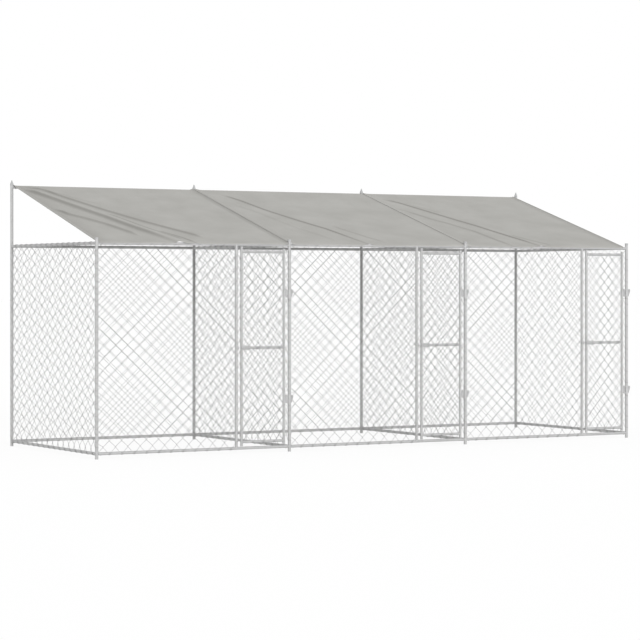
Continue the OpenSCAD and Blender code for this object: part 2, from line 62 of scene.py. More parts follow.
# Sizes and places read from the frame
BAYS = sum(name.startswith("roof_sheet_") for name in NODES)
POST_R = span("front_post_1").x / 2
RAIL_R = span("front_top_rails").z / 2
DOOR_R = span("door_stiles_1").y / 2
POST_X = [middle(f"front_post_{i + 1}").x for i in range(BAYS + 1)]
BAY_W = POST_X[1] - POST_X[0]
JAMB_X = [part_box("door_jambs")[0].x + RAIL_R + i * BAY_W for i in range(BAYS)]
FRONT_Y = middle("front_post_1").y
BACK_Y = middle("back_post_1").y
BOTTOM_Z = middle("front_bottom_rails").z
TOP_Z = middle("front_top_rails").z
RIDGE_Z = middle("ridge_rails").z
CLOSING_STILE_X = [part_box(f"door_stiles_{i + 1}")[0].x + DOOR_R for i in range(BAYS)]
HINGE_STILE_X = [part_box(f"door_stiles_{i + 1}")[1].x - DOOR_R for i in range(BAYS)]
DOOR_RAIL_Z = (
    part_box("door_rails_1")[0].z + DOOR_R,
    middle("bolt_housing_1").z,
    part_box("door_rails_1")[1].z - DOOR_R,
)
ALONG_BAYS = Vector((1, 0, 0))
TO_BACK = Vector((0, 1, 0))

# Woven mesh
WIRE_D = 0.003
WIRE_R = WIRE_D / 2
WIRE_ROUNDING = 1
DIAMOND_W = 0.125
DOOR_DIAMOND_W = 0.114
DIAMOND_H = 0.1158
# How far a bend reaches past the line where two wires hook together, and its half length
BEND_OVER = 0.0016
BEND_HALF = 0.004
# Depth of a wire's slanting runs in front of and behind the mesh's own plane
RUN_DEPTH = 0.0016
# Wires turn round an upright a little over or under the bend, and rise on the way
WRAP_RISE = 0.006
WRAP_SHIFT = 0.010
HALF_TURN = 180
ARC_STEP = 30
# Wire ends turn round the bottom and top rail, at these distances from the line where two wires meet
HOOK_SPREAD = (0.004, 0.011)
# How far they turn from the front of a rail (1) and from behind it (-1), here and under the roof's edge
FULL_TURN = {1: 215, -1: 215}
UNDER_ROOF_TURN = {1: 8, -1: 55}
# Wires keep this far from hinges and keepers
HARDWARE_ROOM = 0.012
HINGE_BAND_H = 0.075

# Welds
WELD_R = 0.0017
WELD_STEP = 12
WELD_RIPPLE = 0.18

# Roof cloth
CLOTH_T = 0.0012
CLOTH_GAP = 0.0004
CLOTH_SAG = 0.018
# Edges that show, from the axes of the posts at the ridge and at the front: the left end, the two
# laps, where a sheet lies over the edge of the sheet to its left, and the right end
EDGE_AT = ((0.017, 0.002), (-0.016, -0.016), (0.003, 0.003), (-0.040, -0.058))
LAP = 0.030
LAP_GAP = 0.0016
# The two hems at a lap stand up as a ridge, steep on its left, at the first lap more than at the next
SEAM_RISE = (0.009, 0.003)
SEAM_LEFT_W = 0.04
SEAM_RIGHT_W = 0.09
# Painted shade along the edges that show, for the dark lines at the ends and laps: how strong at the edge,
# and how wide on each side of it
EDGE_PAINTED_SHADE = (0.28, 0.42, 0.15, 0.18)
EDGE_PAINTED_SHADE_W = (0.22, 0.06, 0.04, 0.12)
EDGE_BEAD_R = 0.0015
# The hems at the two ends of the roof are rolled round a rope
END_ROLL_R = 0.004
FRONT_BEAD_R = 0.0015
# Corners are cut round the posts
CORNER_GAP = 0.006
CORNER_ROOM = POST_R + CORNER_GAP
CORNER_LENGTH = 0.045
# Where the cloth ends behind the ridge rail, and how far it goes on round the front rail
BACK_WRAP_END = -30
FRONT_WRAP = 60
HEM_W = 0.036
STITCH_IN = 0.030
STITCH_L = 0.006
STITCH_GAP = STITCH_L / 4
STITCH_HALF_W = 0.0011
# Columns of a sheet: (share across where they end, how many), fine at the creases and the seam
COLUMN_ZONES = ((0.62, 178), (0.94, 20), (1.0, 20))
SLOPE_ROWS = 165
BACK_WRAP_ROWS = 10
FRONT_WRAP_ROWS = 4
HEM_COLUMNS = 4

# Creases in the cloth
# Value of t * exp(-t * t) where that curve is highest, which is where a crease is steepest
STEEPEST = math.exp(-0.5) / math.sqrt(2)
# Share of a crease's length over which it rises and falls
FADE = 0.15
# Share of its height that a crease keeps at the front edge, and half the width that it draws back there
EDGE_LIFT = 0.45
DRAWN_W = 0.05

# Length of the cloth from its back hem: round the ridge rail, down the slope and over the front rail
CLOTH_R = RAIL_R + CLOTH_GAP + CLOTH_T / 2
SLOPE_L = math.hypot(BACK_Y - FRONT_Y, RIDGE_Z - TOP_Z)
SLOPE_TURN = 90 + math.degrees(math.atan2(RIDGE_Z - TOP_Z, BACK_Y - FRONT_Y))
BACK_L = CLOTH_R * math.radians(SLOPE_TURN - BACK_WRAP_END)
FRONT_L = CLOTH_R * math.radians(FRONT_WRAP)
CLOTH_L = BACK_L + SLOPE_L + FRONT_L

# Zinc coats: noise settings, share of the crystals in the tone, range of tones, and how much rougher
# the dull patches and smoother the bright ones are
ZINC_CLOUD = {"Scale": 7.0, "Detail": 5.0, "Roughness": 0.6}
ZINC_GRAIN = {"Scale": 900.0, "Detail": 2.0}
ZINC_BUMP = {"Strength": 0.08, "Distance": 0.0004}
CRYSTAL_SHARE = 0.45
ZINC_TONES = (0.35, 1.0)
DULL_ROUGHER = 0.1
BRIGHT_SMOOTHER = 0.06

# Plastic of the caps and plugs
PLASTIC_BLOOM = {"Scale": 40.0, "Detail": 4.0}
PLASTIC_GRAIN = {"Scale": 1500.0}
PLASTIC_BUMP = {"Strength": 0.15, "Distance": 0.0003}
PLASTIC_TONES = (0.3, 0.7)
PLASTIC_ROUGH = (0.45, 0.6)

# Weave and colours of the cloth
CLOTH_THREAD = 0.0012
# Metres from band to band of a wave texture whose scale is 1
WAVE_PERIOD = math.pi / 10
WEAVE_WAVER = {"Distortion": 0.6, "Detail": 1.0}
WEAVE_BUMP = {"Strength": 0.25, "Distance": 0.0004}
WEAVE_SHARE = 0.3
CLOTH_CLOUD = {"Scale": 3.0, "Detail": 6.0, "Roughness": 0.55}
CLOTH_TONES = (0.3, 0.9)
CLOTH_ROUGH = 0.85
CLOTH_SHINE = 0.25
CLOTH_DARK = (0.360, 0.355, 0.335)
CLOTH_LIGHT = (0.430, 0.425, 0.405)
# The rolled edges are a little darker than the cloth: painted shade for the dark line along the edges that
# show
EDGE_DARK = (0.34, 0.335, 0.32)
EDGE_LIGHT = (0.41, 0.405, 0.385)
THREAD_COLOUR = (0.55, 0.55, 0.53)
# Colour of the painted shade on the steep sides of the creases and along the edges that show
PAINTED_SHADE_COLOUR = (0.245, 0.240, 0.225)

# Stage: a pale floor, a white surround, soft light and the camera
WHITE = (1, 1, 1, 1)
FLOOR_SIZE = 400
FLOOR_BOUNCE = 0.95
FLOOR_GLOW = 0.9
WORLD_LIGHT = 0.80
SUN_POWER = 1.5
SUN_SOFTNESS = 20
SUN_TURN = (69, 0, -8)
CAMERA_PLACE = (-11.72, -20.16, 1.575)
CAMERA_TURN = (90, 0, -30)
CAMERA_LENS = 130.1
CAMERA_SENSOR_W = 36
CAMERA_SHIFT = (-0.0009, -0.0538)


# Pieces

def link(name, data):
    piece = bpy.data.objects.new(name, data)
    bpy.context.scene.collection.objects.link(piece)
    return piece


def bent_wire(name, routes, radius, closed=False, thickness=None):
    """One piece of round wire or bead along each route; thickness scales the radius along a route."""
    line = bpy.data.curves.new(name, "CURVE")
    line.dimensions = "3D"
    line.bevel_depth = radius
    line.bevel_resolution = WIRE_ROUNDING
    line.use_fill_caps = True
    for route in routes:
        spline = line.splines.new("POLY")
        spline.points.add(len(route) - 1)
        for k, place in enumerate(route):
            spline.points[k].co = (*place, 1)
            if thickness:
                spline.points[k].radius = thickness(k)
        spline.use_cyclic_u = closed
    bent = link(name + "_line", line)
    seen = bent.evaluated_get(bpy.context.evaluated_depsgraph_get())
    mesh = bpy.data.meshes.new_from_object(seen)
    bpy.data.objects.remove(bent)
    mesh.name = name
    return link(name, mesh)


def dress(piece, finish, body, slot, *nodes):
    """Gives a piece its finish, the body that carries it and the nodes that it stands for."""
    piece.data.materials.clear()
    piece.data.materials.append(finish)
    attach(piece, body)
    if nodes:
        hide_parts(*nodes)
    return piece


# Shader nodes

def new_finish(name):
    material = bpy.data.materials.new(name)
    material.use_nodes = True
    return material, material.node_tree, material.node_tree.nodes["Principled BSDF"]


def add_node(tree, kind, settings=None, inputs=None):
    """A new shader node, with inputs that are values or other nodes' outputs."""
    made = tree.nodes.new(kind)
    for key, value in (settings or {}).items():
        setattr(made, key, value)
    for key, value in (inputs or {}).items():
        if isinstance(value, bpy.types.NodeSocket):
            tree.links.new(value, made.inputs[key])
        else:
            made.inputs[key].default_value = value
    return made


def object_place(tree):
    return add_node(tree, "ShaderNodeTexCoord").outputs["Object"]


def cut_place(tree):
    """Coordinates of a piece of cloth as it is cut, in metres."""
    return add_node(tree, "ShaderNodeUVMap", {"uv_map": "cut"}).outputs["UV"]


def noise(tree, place, settings):
    return add_node(tree, "ShaderNodeTexNoise", inputs={"Vector": place, **settings}).outputs["Fac"]


def maths(tree, operation, *values, **settings):
    return add_node(
        tree, "ShaderNodeMath", {"operation": operation, **settings}, dict(enumerate(values))
    ).outputs["Value"]


def shades(tree, value, tones, dark, light):
    """A colour that goes from dark to light while a value goes through a range of tones."""
    ramp = add_node(tree, "ShaderNodeValToRGB", inputs={"Fac": value})
    for element, tone, colour in zip(ramp.color_ramp.elements, tones, (dark, light)):
        element.position = tone
        element.color = (*colour, 1)
    return ramp.outputs["Color"]


def ranged(tree, value, low, high):
    return add_node(
        tree, "ShaderNodeMapRange", inputs={"Value": value, "To Min": low, "To Max": high}
    ).outputs["Result"]


def mixed_colour(tree, share, under, over):
    mix = add_node(tree, "ShaderNodeMix", {"data_type": "RGBA"}, {"Factor": share})
    first, second = [socket for socket in mix.inputs if socket.type == "RGBA"]
    tree.links.new(under, first)
    second.default_value = (*over, 1)
    return next(socket for socket in mix.outputs if socket.type == "RGBA")


def mixed_shader(tree, share, first, second):
    return add_node(
        tree, "ShaderNodeMixShader", inputs={0: share, 1: first, 2: second}
    ).outputs["Shader"]


def bumped(tree, shader, height, settings):
    bump = add_node(tree, "ShaderNodeBump", inputs={"Height": height, **settings})
    tree.links.new(bump.outputs["Normal"], shader.inputs["Normal"])


# Finishes

def zinc_coat(name, dark, light, spangle, metallic, rough):
    """Zinc-coated steel: crystals of slightly different greys, under cloudy dull patches."""
    material, tree, shader = new_finish(name)
    place = object_place(tree)
    crystals = add_node(tree, "ShaderNodeTexVoronoi", inputs={"Vector": place, "Scale": 1 / spangle})
    crystal = add_node(
        tree, "ShaderNodeSeparateColor", inputs={"Color": crystals.outputs["Color"]}
    ).outputs["Red"]
    tone = maths(tree, "MULTIPLY_ADD", crystal, CRYSTAL_SHARE, noise(tree, place, ZINC_CLOUD))
    colour = shades(tree, tone, ZINC_TONES, (dark,) * 3, (light,) * 3)
    tree.links.new(colour, shader.inputs["Base Color"])
    roughness = ranged(tree, tone, rough + DULL_ROUGHER, rough - BRIGHT_SMOOTHER)
    tree.links.new(roughness, shader.inputs["Roughness"])
    shader.inputs["Metallic"].default_value = metallic
    bumped(tree, shader, noise(tree, place, ZINC_GRAIN), ZINC_BUMP)
    return material


def moulded_plastic(name, dark, light):
    """Weathered grey plastic with a fine moulded grain."""
    material, tree, shader = new_finish(name)
    place = object_place(tree)
    bloom = noise(tree, place, PLASTIC_BLOOM)
    tree.links.new(shades(tree, bloom, PLASTIC_TONES, dark, light), shader.inputs["Base Color"])
    tree.links.new(ranged(tree, bloom, *PLASTIC_ROUGH), shader.inputs["Roughness"])
    bumped(tree, shader, noise(tree, place, PLASTIC_GRAIN), PLASTIC_BUMP)
    return material


def woven(tree, shader, place, dark, light):
    """Plain weave and cloudy shade of a cloth, over coordinates in metres; gives the colour."""
    warp, weft = [
        add_node(
            tree, "ShaderNodeTexWave", {"bands_direction": direction},
            {"Vector": place, "Scale": WAVE_PERIOD / CLOTH_THREAD, **WEAVE_WAVER},
        ).outputs["Fac"]
        for direction in ("X", "Y")
    ]
    threads = maths(tree, "MULTIPLY", warp, weft)
    tone = maths(tree, "MULTIPLY_ADD", threads, WEAVE_SHARE, noise(tree, place, CLOTH_CLOUD))
    shader.inputs["Roughness"].default_value = CLOTH_ROUGH
    shader.inputs["Specular IOR Level"].default_value = CLOTH_SHINE
    bumped(tree, shader, threads, WEAVE_BUMP)
    return shades(tree, tone, CLOTH_TONES, dark, light)


def with_painted_shade(tree, colour):
    """The colour of the cloth, with painted shade on the steep side of its creases and along its edges."""
    painted_shade = add_node(tree, "ShaderNodeAttribute", {"attribute_name": "painted_shade"}).outputs["Fac"]
    return mixed_colour(tree, painted_shade, colour, PAINTED_SHADE_COLOUR)


def roof_cloth():
    material, tree, shader = new_finish("roof_cloth")
    colour = woven(tree, shader, cut_place(tree), CLOTH_DARK, CLOTH_LIGHT)
    # Painted shade darkens the steep sides of the creases and the edges that show
    tree.links.new(with_painted_shade(tree, colour), shader.inputs["Base Color"])
    return material


def rolled_cloth():
    """The rolled edge of the roof cloth, a little darker than the cloth as painted shade."""
    material, tree, shader = new_finish("rolled_edge_cloth")
    colour = woven(tree, shader, object_place(tree), EDGE_DARK, EDGE_LIGHT)
    tree.links.new(colour, shader.inputs["Base Color"])
    return material


def stitched_hem():
    """Hem of the roof cloth, with one row of stitches at STITCH_IN from its edge."""
    material, tree, shader = new_finish("stitched_hem")
    cut = cut_place(tree)
    cloth = woven(tree, shader, cut, EDGE_LIGHT, CLOTH_LIGHT)
    spot = add_node(tree, "ShaderNodeSeparateXYZ", inputs={"Vector": cut}).outputs
    on_row = maths(tree, "COMPARE", spot["X"], STITCH_IN, STITCH_HALF_W)
    from_gap = maths(tree, "PINGPONG", spot["Y"], STITCH_L / 2)
    on_stitch = maths(tree, "GREATER_THAN", from_gap, STITCH_GAP / 2)
    thread = maths(tree, "MULTIPLY", on_row, on_stitch)
    colour = mixed_colour(tree, thread, cloth, THREAD_COLOUR)
    # The hem gets the same painted shade along the edges
    tree.links.new(with_painted_shade(tree, colour), shader.inputs["Base Color"])
    return material


TUBE = zinc_coat("spangled_tube", dark=0.41, light=0.49, spangle=0.012, metallic=0.2, rough=0.45)
WIRE = zinc_coat("galvanised_wire", dark=0.17, light=0.24, spangle=0.006, metallic=0.2, rough=0.45)
PRESSED = zinc_coat("galvanised_fittings", dark=0.42, light=0.52, spangle=0.009, metallic=0.3, rough=0.42)
ZINC = zinc_coat("bright_zinc", dark=0.50, light=0.62, spangle=0.004, metallic=0.6, rough=0.32)
WELD = zinc_coat("zinc_painted_weld", dark=0.34, light=0.44, spangle=0.005, metallic=0.2, rough=0.5)
CAPS = moulded_plastic("grey_cap_plastic", dark=(0.37, 0.375, 0.375), light=(0.44, 0.445, 0.445))
CLOTH = roof_cloth()
HEM = stitched_hem()
EDGE = rolled_cloth()

# Words in the names of nodes, and the finish that the first match gives
NODE_FINISHES = (
    (("post_caps", "door_plugs"), CAPS),
    (("screws", "pins", "clamp_", "slide_bolt"), ZINC),
    (("hinge_bands", "hinge_eyes", "bolt_housing", "bolt_keepers"), PRESSED),
    (("post", "rails", "jambs", "spigots", "stiles"), TUBE),
)


def finish_nodes():
    """Gives each tube and fitting of the frame its finish."""
    for name, node in NODES.items():
        for words, finish in NODE_FINISHES:
            if any(word in name for word in words):
                node.data.materials.clear()
                node.data.materials.append(finish)
                break


# Woven mesh between two uprights and two rails

@dataclass
class MeshPanel:
    """A flat stretch of mesh, measured between the axes of its uprights and rails.

    Pairs are for the left and right upright, or for the bottom and top rail. keep_out has heights
    that no wire takes round an upright, no_hooks has stretches of a rail without wire ends, and
    first_side moves the pattern sideways by half a diamond.
    """
    start: Vector
    along: Vector
    front: Vector
    width: float
    low_z: float
    high_z: float
    upright_r: tuple
    rail_r: float
    diamond_w: float = DIAMOND_W
    first_side: int = 0
    wrap_shift: float = WRAP_SHIFT
    keep_out: tuple = ((), ())
    no_hooks: tuple = ((), ())
    top_turn: dict = field(default_factory=lambda: FULL_TURN)

    def __post_init__(self):
        self.strands = round(2 * self.width / self.diamond_w)
        self.levels = round(2 * (self.high_z - self.low_z) / DIAMOND_H)
        self.pitch = self.width / self.strands
        self.step = (self.high_z - self.low_z) / self.levels
        self.steep = self.step / self.pitch

    def place(self, point):
        s, t, z = point
        return self.start + self.along * s + self.front * t + Vector((0, 0, z))

    def at_right(self, strand, level):
        return (strand + self.levels - level + self.first_side) % 2 == 0

    def line(self, strand, level):
        return (strand + self.at_right(strand, level)) * self.pitch

    def run_side(self, strand, level):
        """1 where the run up from a level lies in front of the mesh's plane, -1 where it lies behind."""
        return -1 if self.at_right(strand, level) else 1

    def on_upright(self, strand, level):
        return strand == (self.strands - 1 if self.at_right(strand, level) else 0)

    def clear_height(self, z, right):
        """A height on an upright, moved to the nearer end of a fitting that is in the way."""
        for low, high in self.keep_out[right]:
            if low < z < high:
                return low if z - low < high - z else high
        return z

    def bend(self, strand, level):
        """Points where a wire turns back: hooked to the next wire, or round an upright."""
        right = self.at_right(strand, level)
        outward = 1 if right else -1
        line = self.line(strand, level)
        z = self.low_z + level * self.step
        before = self.run_side(strand, level - 1)
        if self.on_upright(strand, level):
            wrap_z = self.clear_height(z + outward * self.wrap_shift, right)
            reach = self.upright_r[right] + WIRE_R
            return [
                (
                    line + outward * reach * math.sin(math.radians(a)),
                    before * reach * math.cos(math.radians(a)),
                    wrap_z + WRAP_RISE * (a / HALF_TURN - 0.5),
                )
                for a in range(0, HALF_TURN + 1, ARC_STEP)
            ]
        apex = line + outward * BEND_OVER
        rise = BEND_HALF * self.steep
        return [
            (apex - outward * BEND_HALF, before * RUN_DEPTH, z - rise),
            (apex, 0, z),
            (apex - outward * BEND_HALF, -before * RUN_DEPTH, z + rise),
        ]

    def hook(self, strand, top):
        """Points of a wire's end round a rail, from the run outwards."""
        level = self.levels if top else 0
        inward = -1 if self.at_right(strand, level) else 1
        side = self.run_side(strand, level - 1 if top else level)
        rail_z = self.high_z if top else self.low_z
        up = 1 if top else -1
        line = self.line(strand, level)
        if self.on_upright(strand, level):
            clear = self.rail_r + WIRE_D
            return [(line + inward * clear / self.steep, side * RUN_DEPTH, rail_z - up * clear)]
        s = line + inward * HOOK_SPREAD[top]
        reach = self.rail_r + WIRE_R
        if any(low < s < high for low, high in self.no_hooks[top]):
            return [(s, side * RUN_DEPTH, rail_z - up * reach)]
        turn = (self.top_turn if top else FULL_TURN)[side]
        steps = max(1, round(turn / ARC_STEP))
        angles = [math.radians(turn * k / steps) for k in range(steps + 1)]
        return [(s, side * reach * math.cos(a), rail_z + up * reach * math.sin(a)) for a in angles]

    def routes(self):
        for strand in range(self.strands):
            points = self.hook(strand, False)[::-1]
            for level in range(1, self.levels):
                points += self.bend(strand, level)
            points += self.hook(strand, True)
            yield [self.place(p) for p in points]


def with_room(low, high):
    return low - HARDWARE_ROOM, high + HARDWARE_ROOM


# Heights that fittings take up on an upright, farther out for the cross walls than for the fronts
BAND_LOW, BAND_HIGH = (corner.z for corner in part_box("hinge_bands"))
HINGES = (with_room(BAND_LOW, BAND_LOW + HINGE_BAND_H), with_room(BAND_HIGH - HINGE_BAND_H, BAND_HIGH))
CROSS_HINGES = tuple(with_room(*hinge) for hinge in HINGES)
KEEPERS = (with_room(*(corner.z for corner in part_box("bolt_keepers"))),)


def wall_panel(start_x, start_y, along, width, uprights, **choices):
    front = -TO_BACK if along == ALONG_BAYS else -ALONG_BAYS
    return MeshPanel(
        Vector((start_x, start_y, 0)), along, front, width, BOTTOM_Z, TOP_Z, uprights, RAIL_R, **choices
    )


def weave(name, panels, node, body):
    routes = [route for panel in panels for route in panel.routes()]
    dress(bent_wire(name, routes, WIRE_R), WIRE, body, "net_wire", node)


def weave_walls():
    """Mesh of the fixed fronts, the back, the two ends and the dividers.

    The wires of the ends and dividers turn round the shared posts between those of the other walls.
    """
    for i in range(BAYS):
        front = wall_panel(
            POST_X[i], FRONT_Y, ALONG_BAYS, JAMB_X[i] - POST_X[i], (POST_R, RAIL_R),
            keep_out=(HINGES if i else (), KEEPERS), top_turn=UNDER_ROOF_TURN,
        )
        back = wall_panel(POST_X[i], BACK_Y, ALONG_BAYS, BAY_W, (POST_R, POST_R))
        weave(f"front_mesh_{i + 1}", [front], f"front_net_{i + 1}", "frame")
        weave(f"back_mesh_{i + 1}", [back], f"back_net_{i + 1}", "frame")
    for i in range(BAYS + 1):
        cross = wall_panel(
            POST_X[i], FRONT_Y, TO_BACK, BACK_Y - FRONT_Y, (POST_R, POST_R),
            first_side=1, wrap_shift=0, keep_out=(CROSS_HINGES if i else (), ()),
        )
        weave(f"cross_mesh_{i + 1}", [cross], f"cross_net_{i + 1}", "frame")


def weave_doors():
    """Mesh of the doors, in two halves each, clear of the slide bolt's plate and the hinge eyes."""
    for i in range(BAYS):
        plate = with_room(*(corner.x - CLOSING_STILE_X[i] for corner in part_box(f"bolt_housing_{i + 1}")))
        halves = [
            MeshPanel(
                Vector((CLOSING_STILE_X[i], FRONT_Y, 0)), ALONG_BAYS, -TO_BACK,
                HINGE_STILE_X[i] - CLOSING_STILE_X[i], low_z, high_z, (DOOR_R, DOOR_R), DOOR_R,
                DOOR_DIAMOND_W, keep_out=((), HINGES), no_hooks=no_hooks,
            )
            for low_z, high_z, no_hooks in zip(
                DOOR_RAIL_Z, DOOR_RAIL_Z[1:], (((), (plate,)), ((plate,), ()))
            )
        ]
        weave(f"door_mesh_{i + 1}", halves, f"door_net_{i + 1}", f"door_{i + 1}")


# Welds where the door rails meet the stiles

def weld_route(stile_x, inward, z):
    reach = DOOR_R + WELD_R / 2
    points = []
    for a in range(0, 2 * HALF_TURN, WELD_STEP):
        across = reach * math.cos(math.radians(a))
        out = math.sqrt(reach * reach - across * across)
        points.append(Vector((
            stile_x + inward * out, FRONT_Y + across, z + reach * math.sin(math.radians(a)),
        )))
    return points


def weld_doors():
    for i in range(BAYS):
        routes = [
            weld_route(stile_x, inward, z)
            for z in DOOR_RAIL_Z
            for stile_x, inward in ((CLOSING_STILE_X[i], 1), (HINGE_STILE_X[i], -1))
        ]
        beads = bent_wire(
            f"door_welds_{i + 1}", routes, WELD_R,
            closed=True, thickness=lambda k: 1 + WELD_RIPPLE * (-1) ** k,
        )
        dress(beads, WELD, f"door_{i + 1}", "galvanised_tube")


# Roof cloth, from the back of the ridge rail over it and down to the front rail

def smooth(t):
    t = min(1, max(0, t))
    return t * t * (3 - 2 * t)


@dataclass
class Crease:
    """A pull in the cloth: its crest as (metres from the left post, share of the slope), how far it
    stands up, how wide it falls away on its right and on its left, and how far it draws back the
    front edge, as a share of the turn round the rail."""
    path: tuple
    height: float
    right_w: float
    left_w: float
    draws: float = 0

    def shape(self, x, share):
        """Height of the crease at a point, and how much painted shade its steep left side gets there."""
        y = share * SLOPE_L
        nearest, along, side = None, 0, 0
        for k, (start, end) in enumerate(zip(self.path, self.path[1:])):
            sx, sy = start[0], start[1] * SLOPE_L
            dx, dy = end[0] - sx, end[1] * SLOPE_L - sy
            length = math.hypot(dx, dy)
            t = min(1, max(0, ((x - sx) * dx + (y - sy) * dy) / length ** 2))
            gap = math.hypot(x - sx - t * dx, y - sy - t * dy)
            if nearest is None or gap < nearest:
                nearest, along = gap, (k + t) / (len(self.path) - 1)
                side = (x - sx) * dy - (y - sy) * dx
        w = self.right_w if side > 0 else self.left_w
        end_height = EDGE_LIFT if self.draws else 0
        starts, stops = (smooth(t / FADE) for t in (along, 1 - along))
        ends = starts * (end_height + (1 - end_height) * stops)
        across = nearest / w
        fall = ends * math.exp(-across ** 2)
        # The steep left side gets painted shade, most where it is steepest
        painted_shade = 0 if side > 0 else min(1, self.height / w) * across * fall / STEEPEST
        return self.height * fall, painted_shade

    def draw(self, x):
        return self.draws * math.exp(-((x - self.path[-1][0]) / DRAWN_W) ** 2)


# Creases of each sheet
CREASES = (
    (
        Crease(
            ((0.06, 0.05), (0.17, 0.18), (0.34, 0.38), (0.51, 0.57), (0.63, 0.75), (0.83, 1.0)),
            height=0.028, right_w=0.10, left_w=0.032, draws=0.8,
        ),
        Crease(
            ((0.10, 0.0), (0.29, 0.13), (0.62, 0.43), (1.08, 0.82), (1.20, 0.92)),
            height=0.018, right_w=0.07, left_w=0.022,
        ),
        Crease(
            ((0.07, 0.41), (0.14, 0.53), (0.26, 0.60), (0.38, 0.69), (0.47, 0.80), (0.56, 0.91)),
            height=0.019, right_w=0.05, left_w=0.025,
        ),
        Crease(
            ((0.55, 0.46), (0.66, 0.60), (0.77, 0.81), (0.86, 0.88), (0.95, 0.98)),
            height=0.008, right_w=0.03, left_w=0.012,
        ),
        Crease(
            ((0.80, 0.80), (0.92, 0.89), (1.0, 1.0)),
            height=0.010, right_w=0.03, left_w=0.012, draws=0.3,
        ),
        Crease(((0.12, 0.06), (0.45, 0.20), (0.75, 0.33)), height=0.006, right_w=0.05, left_w=0.030),
    ),
    (
        Crease(
            ((0.20, 0.06), (0.33, 0.21), (0.43, 0.37), (0.59, 0.55), (0.74, 0.71), (0.88, 1.0)),
            height=0.013, right_w=0.04, left_w=0.011, draws=0.8,
        ),
        Crease(
            ((0.15, 0.22), (0.31, 0.43), (0.42, 0.68), (0.54, 0.84), (0.62, 0.96)),
            height=0.006, right_w=0.06, left_w=0.030,
        ),
        Crease(
            ((0.88, 0.62), (0.95, 0.73), (1.00, 0.80), (1.05, 0.88), (1.14, 0.98)),
            height=0.006, right_w=0.03, left_w=0.012,
        ),
    ),
    (
        Crease(
            ((0.10, 0.10), (0.24, 0.18), (0.45, 0.39), (0.66, 0.61), (0.81, 0.85), (0.91, 1.0)),
            height=0.014, right_w=0.045, left_w=0.011, draws=0.8,
        ),
        Crease(
            ((0.06, 0.25), (0.25, 0.50), (0.35, 0.57), (0.49, 0.73), (0.53, 0.91), (0.57, 1.0)),
            height=0.010, right_w=0.05, left_w=0.018, draws=0.2,
        ),
        Crease(((0.15, 0.08), (0.35, 0.20), (0.60, 0.38)), height=0.005, right_w=0.04, left_w=0.020),
        Crease(((0.84, 0.76), (0.95, 0.88), (1.09, 0.99)), height=0.006, right_w=0.03, left_w=0.012),
    ),
)


def edge_x(k, share):
    """Place of the edge that shows at a post, the left one being 0, at a share of the slope."""
    at_ridge, at_front = EDGE_AT[k]
    return POST_X[k] + at_ridge + (at_front - at_ridge) * share


def cloth_edges(i, share):
    """Left and right edge of a sheet, which go round the posts at its corners."""
    from_end = min(share, 1 - share) * SLOPE_L
    at_post = 1 - smooth(from_end / CORNER_LENGTH)
    room = CORNER_ROOM + EDGE_BEAD_R
    left, right = edge_x(i, share), edge_x(i + 1, share)
    if i < BAYS - 1:
        right += LAP
    left += max(0, POST_X[i] + room - left) * at_post
    right -= max(0, right + room - POST_X[i + 1]) * at_post
    return left, right


def seam_shape(from_edge):
    """Share of its height that the ridge of a lap has at a distance from the upper sheet's edge."""
    return 1 - smooth(-from_edge / SEAM_LEFT_W if from_edge < 0 else from_edge / SEAM_RIGHT_W)


def cloth_folds(i, x, share):
    """How far creases and laps lift a sheet at a point, and how much painted shade it gets there."""
    shapes = [crease.shape(x - POST_X[i], share) for crease in CREASES[i]]
    lift = sum(height for height, _ in shapes)
    painted_shade = sum(shade_part for _, shade_part in shapes)
    for k in (i, i + 1):
        from_edge = x - edge_x(k, share)
        # Painted shade along the edges that show
        painted_shade += EDGE_PAINTED_SHADE[k] * (1 - smooth(abs(from_edge) / EDGE_PAINTED_SHADE_W[k]))
        if 0 < k < BAYS:
            lift += SEAM_RISE[k - 1] * seam_shape(from_edge)
    return lift, min(1, painted_shade)


def slope_share(down):
    return min(1, max(0, (down - BACK_L) / SLOPE_L))


def cloth_point(i, across, down, over=0):
    """Place of a point of a sheet, from its share across and its length down from the back hem."""
    share = slope_share(down)
    left, right = cloth_edges(i, share)
    x = left + (right - left) * across
    if down < BACK_L:
        turn, y, z = BACK_WRAP_END + math.degrees(down / CLOTH_R), BACK_Y, RIDGE_Z
    elif down < BACK_L + SLOPE_L:
        turn = SLOPE_TURN
        y, z = BACK_Y + (FRONT_Y - BACK_Y) * share, RIDGE_Z + (TOP_Z - RIDGE_Z) * share
    else:
        drawn = 1 - min(1, sum(crease.draw(x - POST_X[i]) for crease in CREASES[i]))
        turn = SLOPE_TURN + math.degrees((down - BACK_L - SLOPE_L) / CLOTH_R) * drawn
        y, z = FRONT_Y, TOP_Z
    lift, _ = cloth_folds(i, x, share)
    if i:
        lift += LAP_GAP * (1 - smooth((x - left) / SEAM_RIGHT_W))
    sag = CLOTH_SAG * math.sin(math.pi * share) * math.sin(math.pi * across)
    out = CLOTH_R + over + lift - sag
    return Vector((x, y + out * math.cos(math.radians(turn)), z + out * math.sin(math.radians(turn))))


def steps_between(low, high, count):
    return [low + (high - low) * k / count for k in range(count + 1)]


def zone_columns():
    columns, start = [0], 0
    for end, count in COLUMN_ZONES:
        columns += steps_between(start, end, count)[1:]
        start = end
    return columns


CLOTH_COLUMNS = zone_columns()
CLOTH_ROWS = (
    steps_between(0, BACK_L, BACK_WRAP_ROWS)[:-1]
    + steps_between(BACK_L, BACK_L + SLOPE_L, SLOPE_ROWS)[:-1]
    + steps_between(BACK_L + SLOPE_L, CLOTH_L, FRONT_WRAP_ROWS)
)


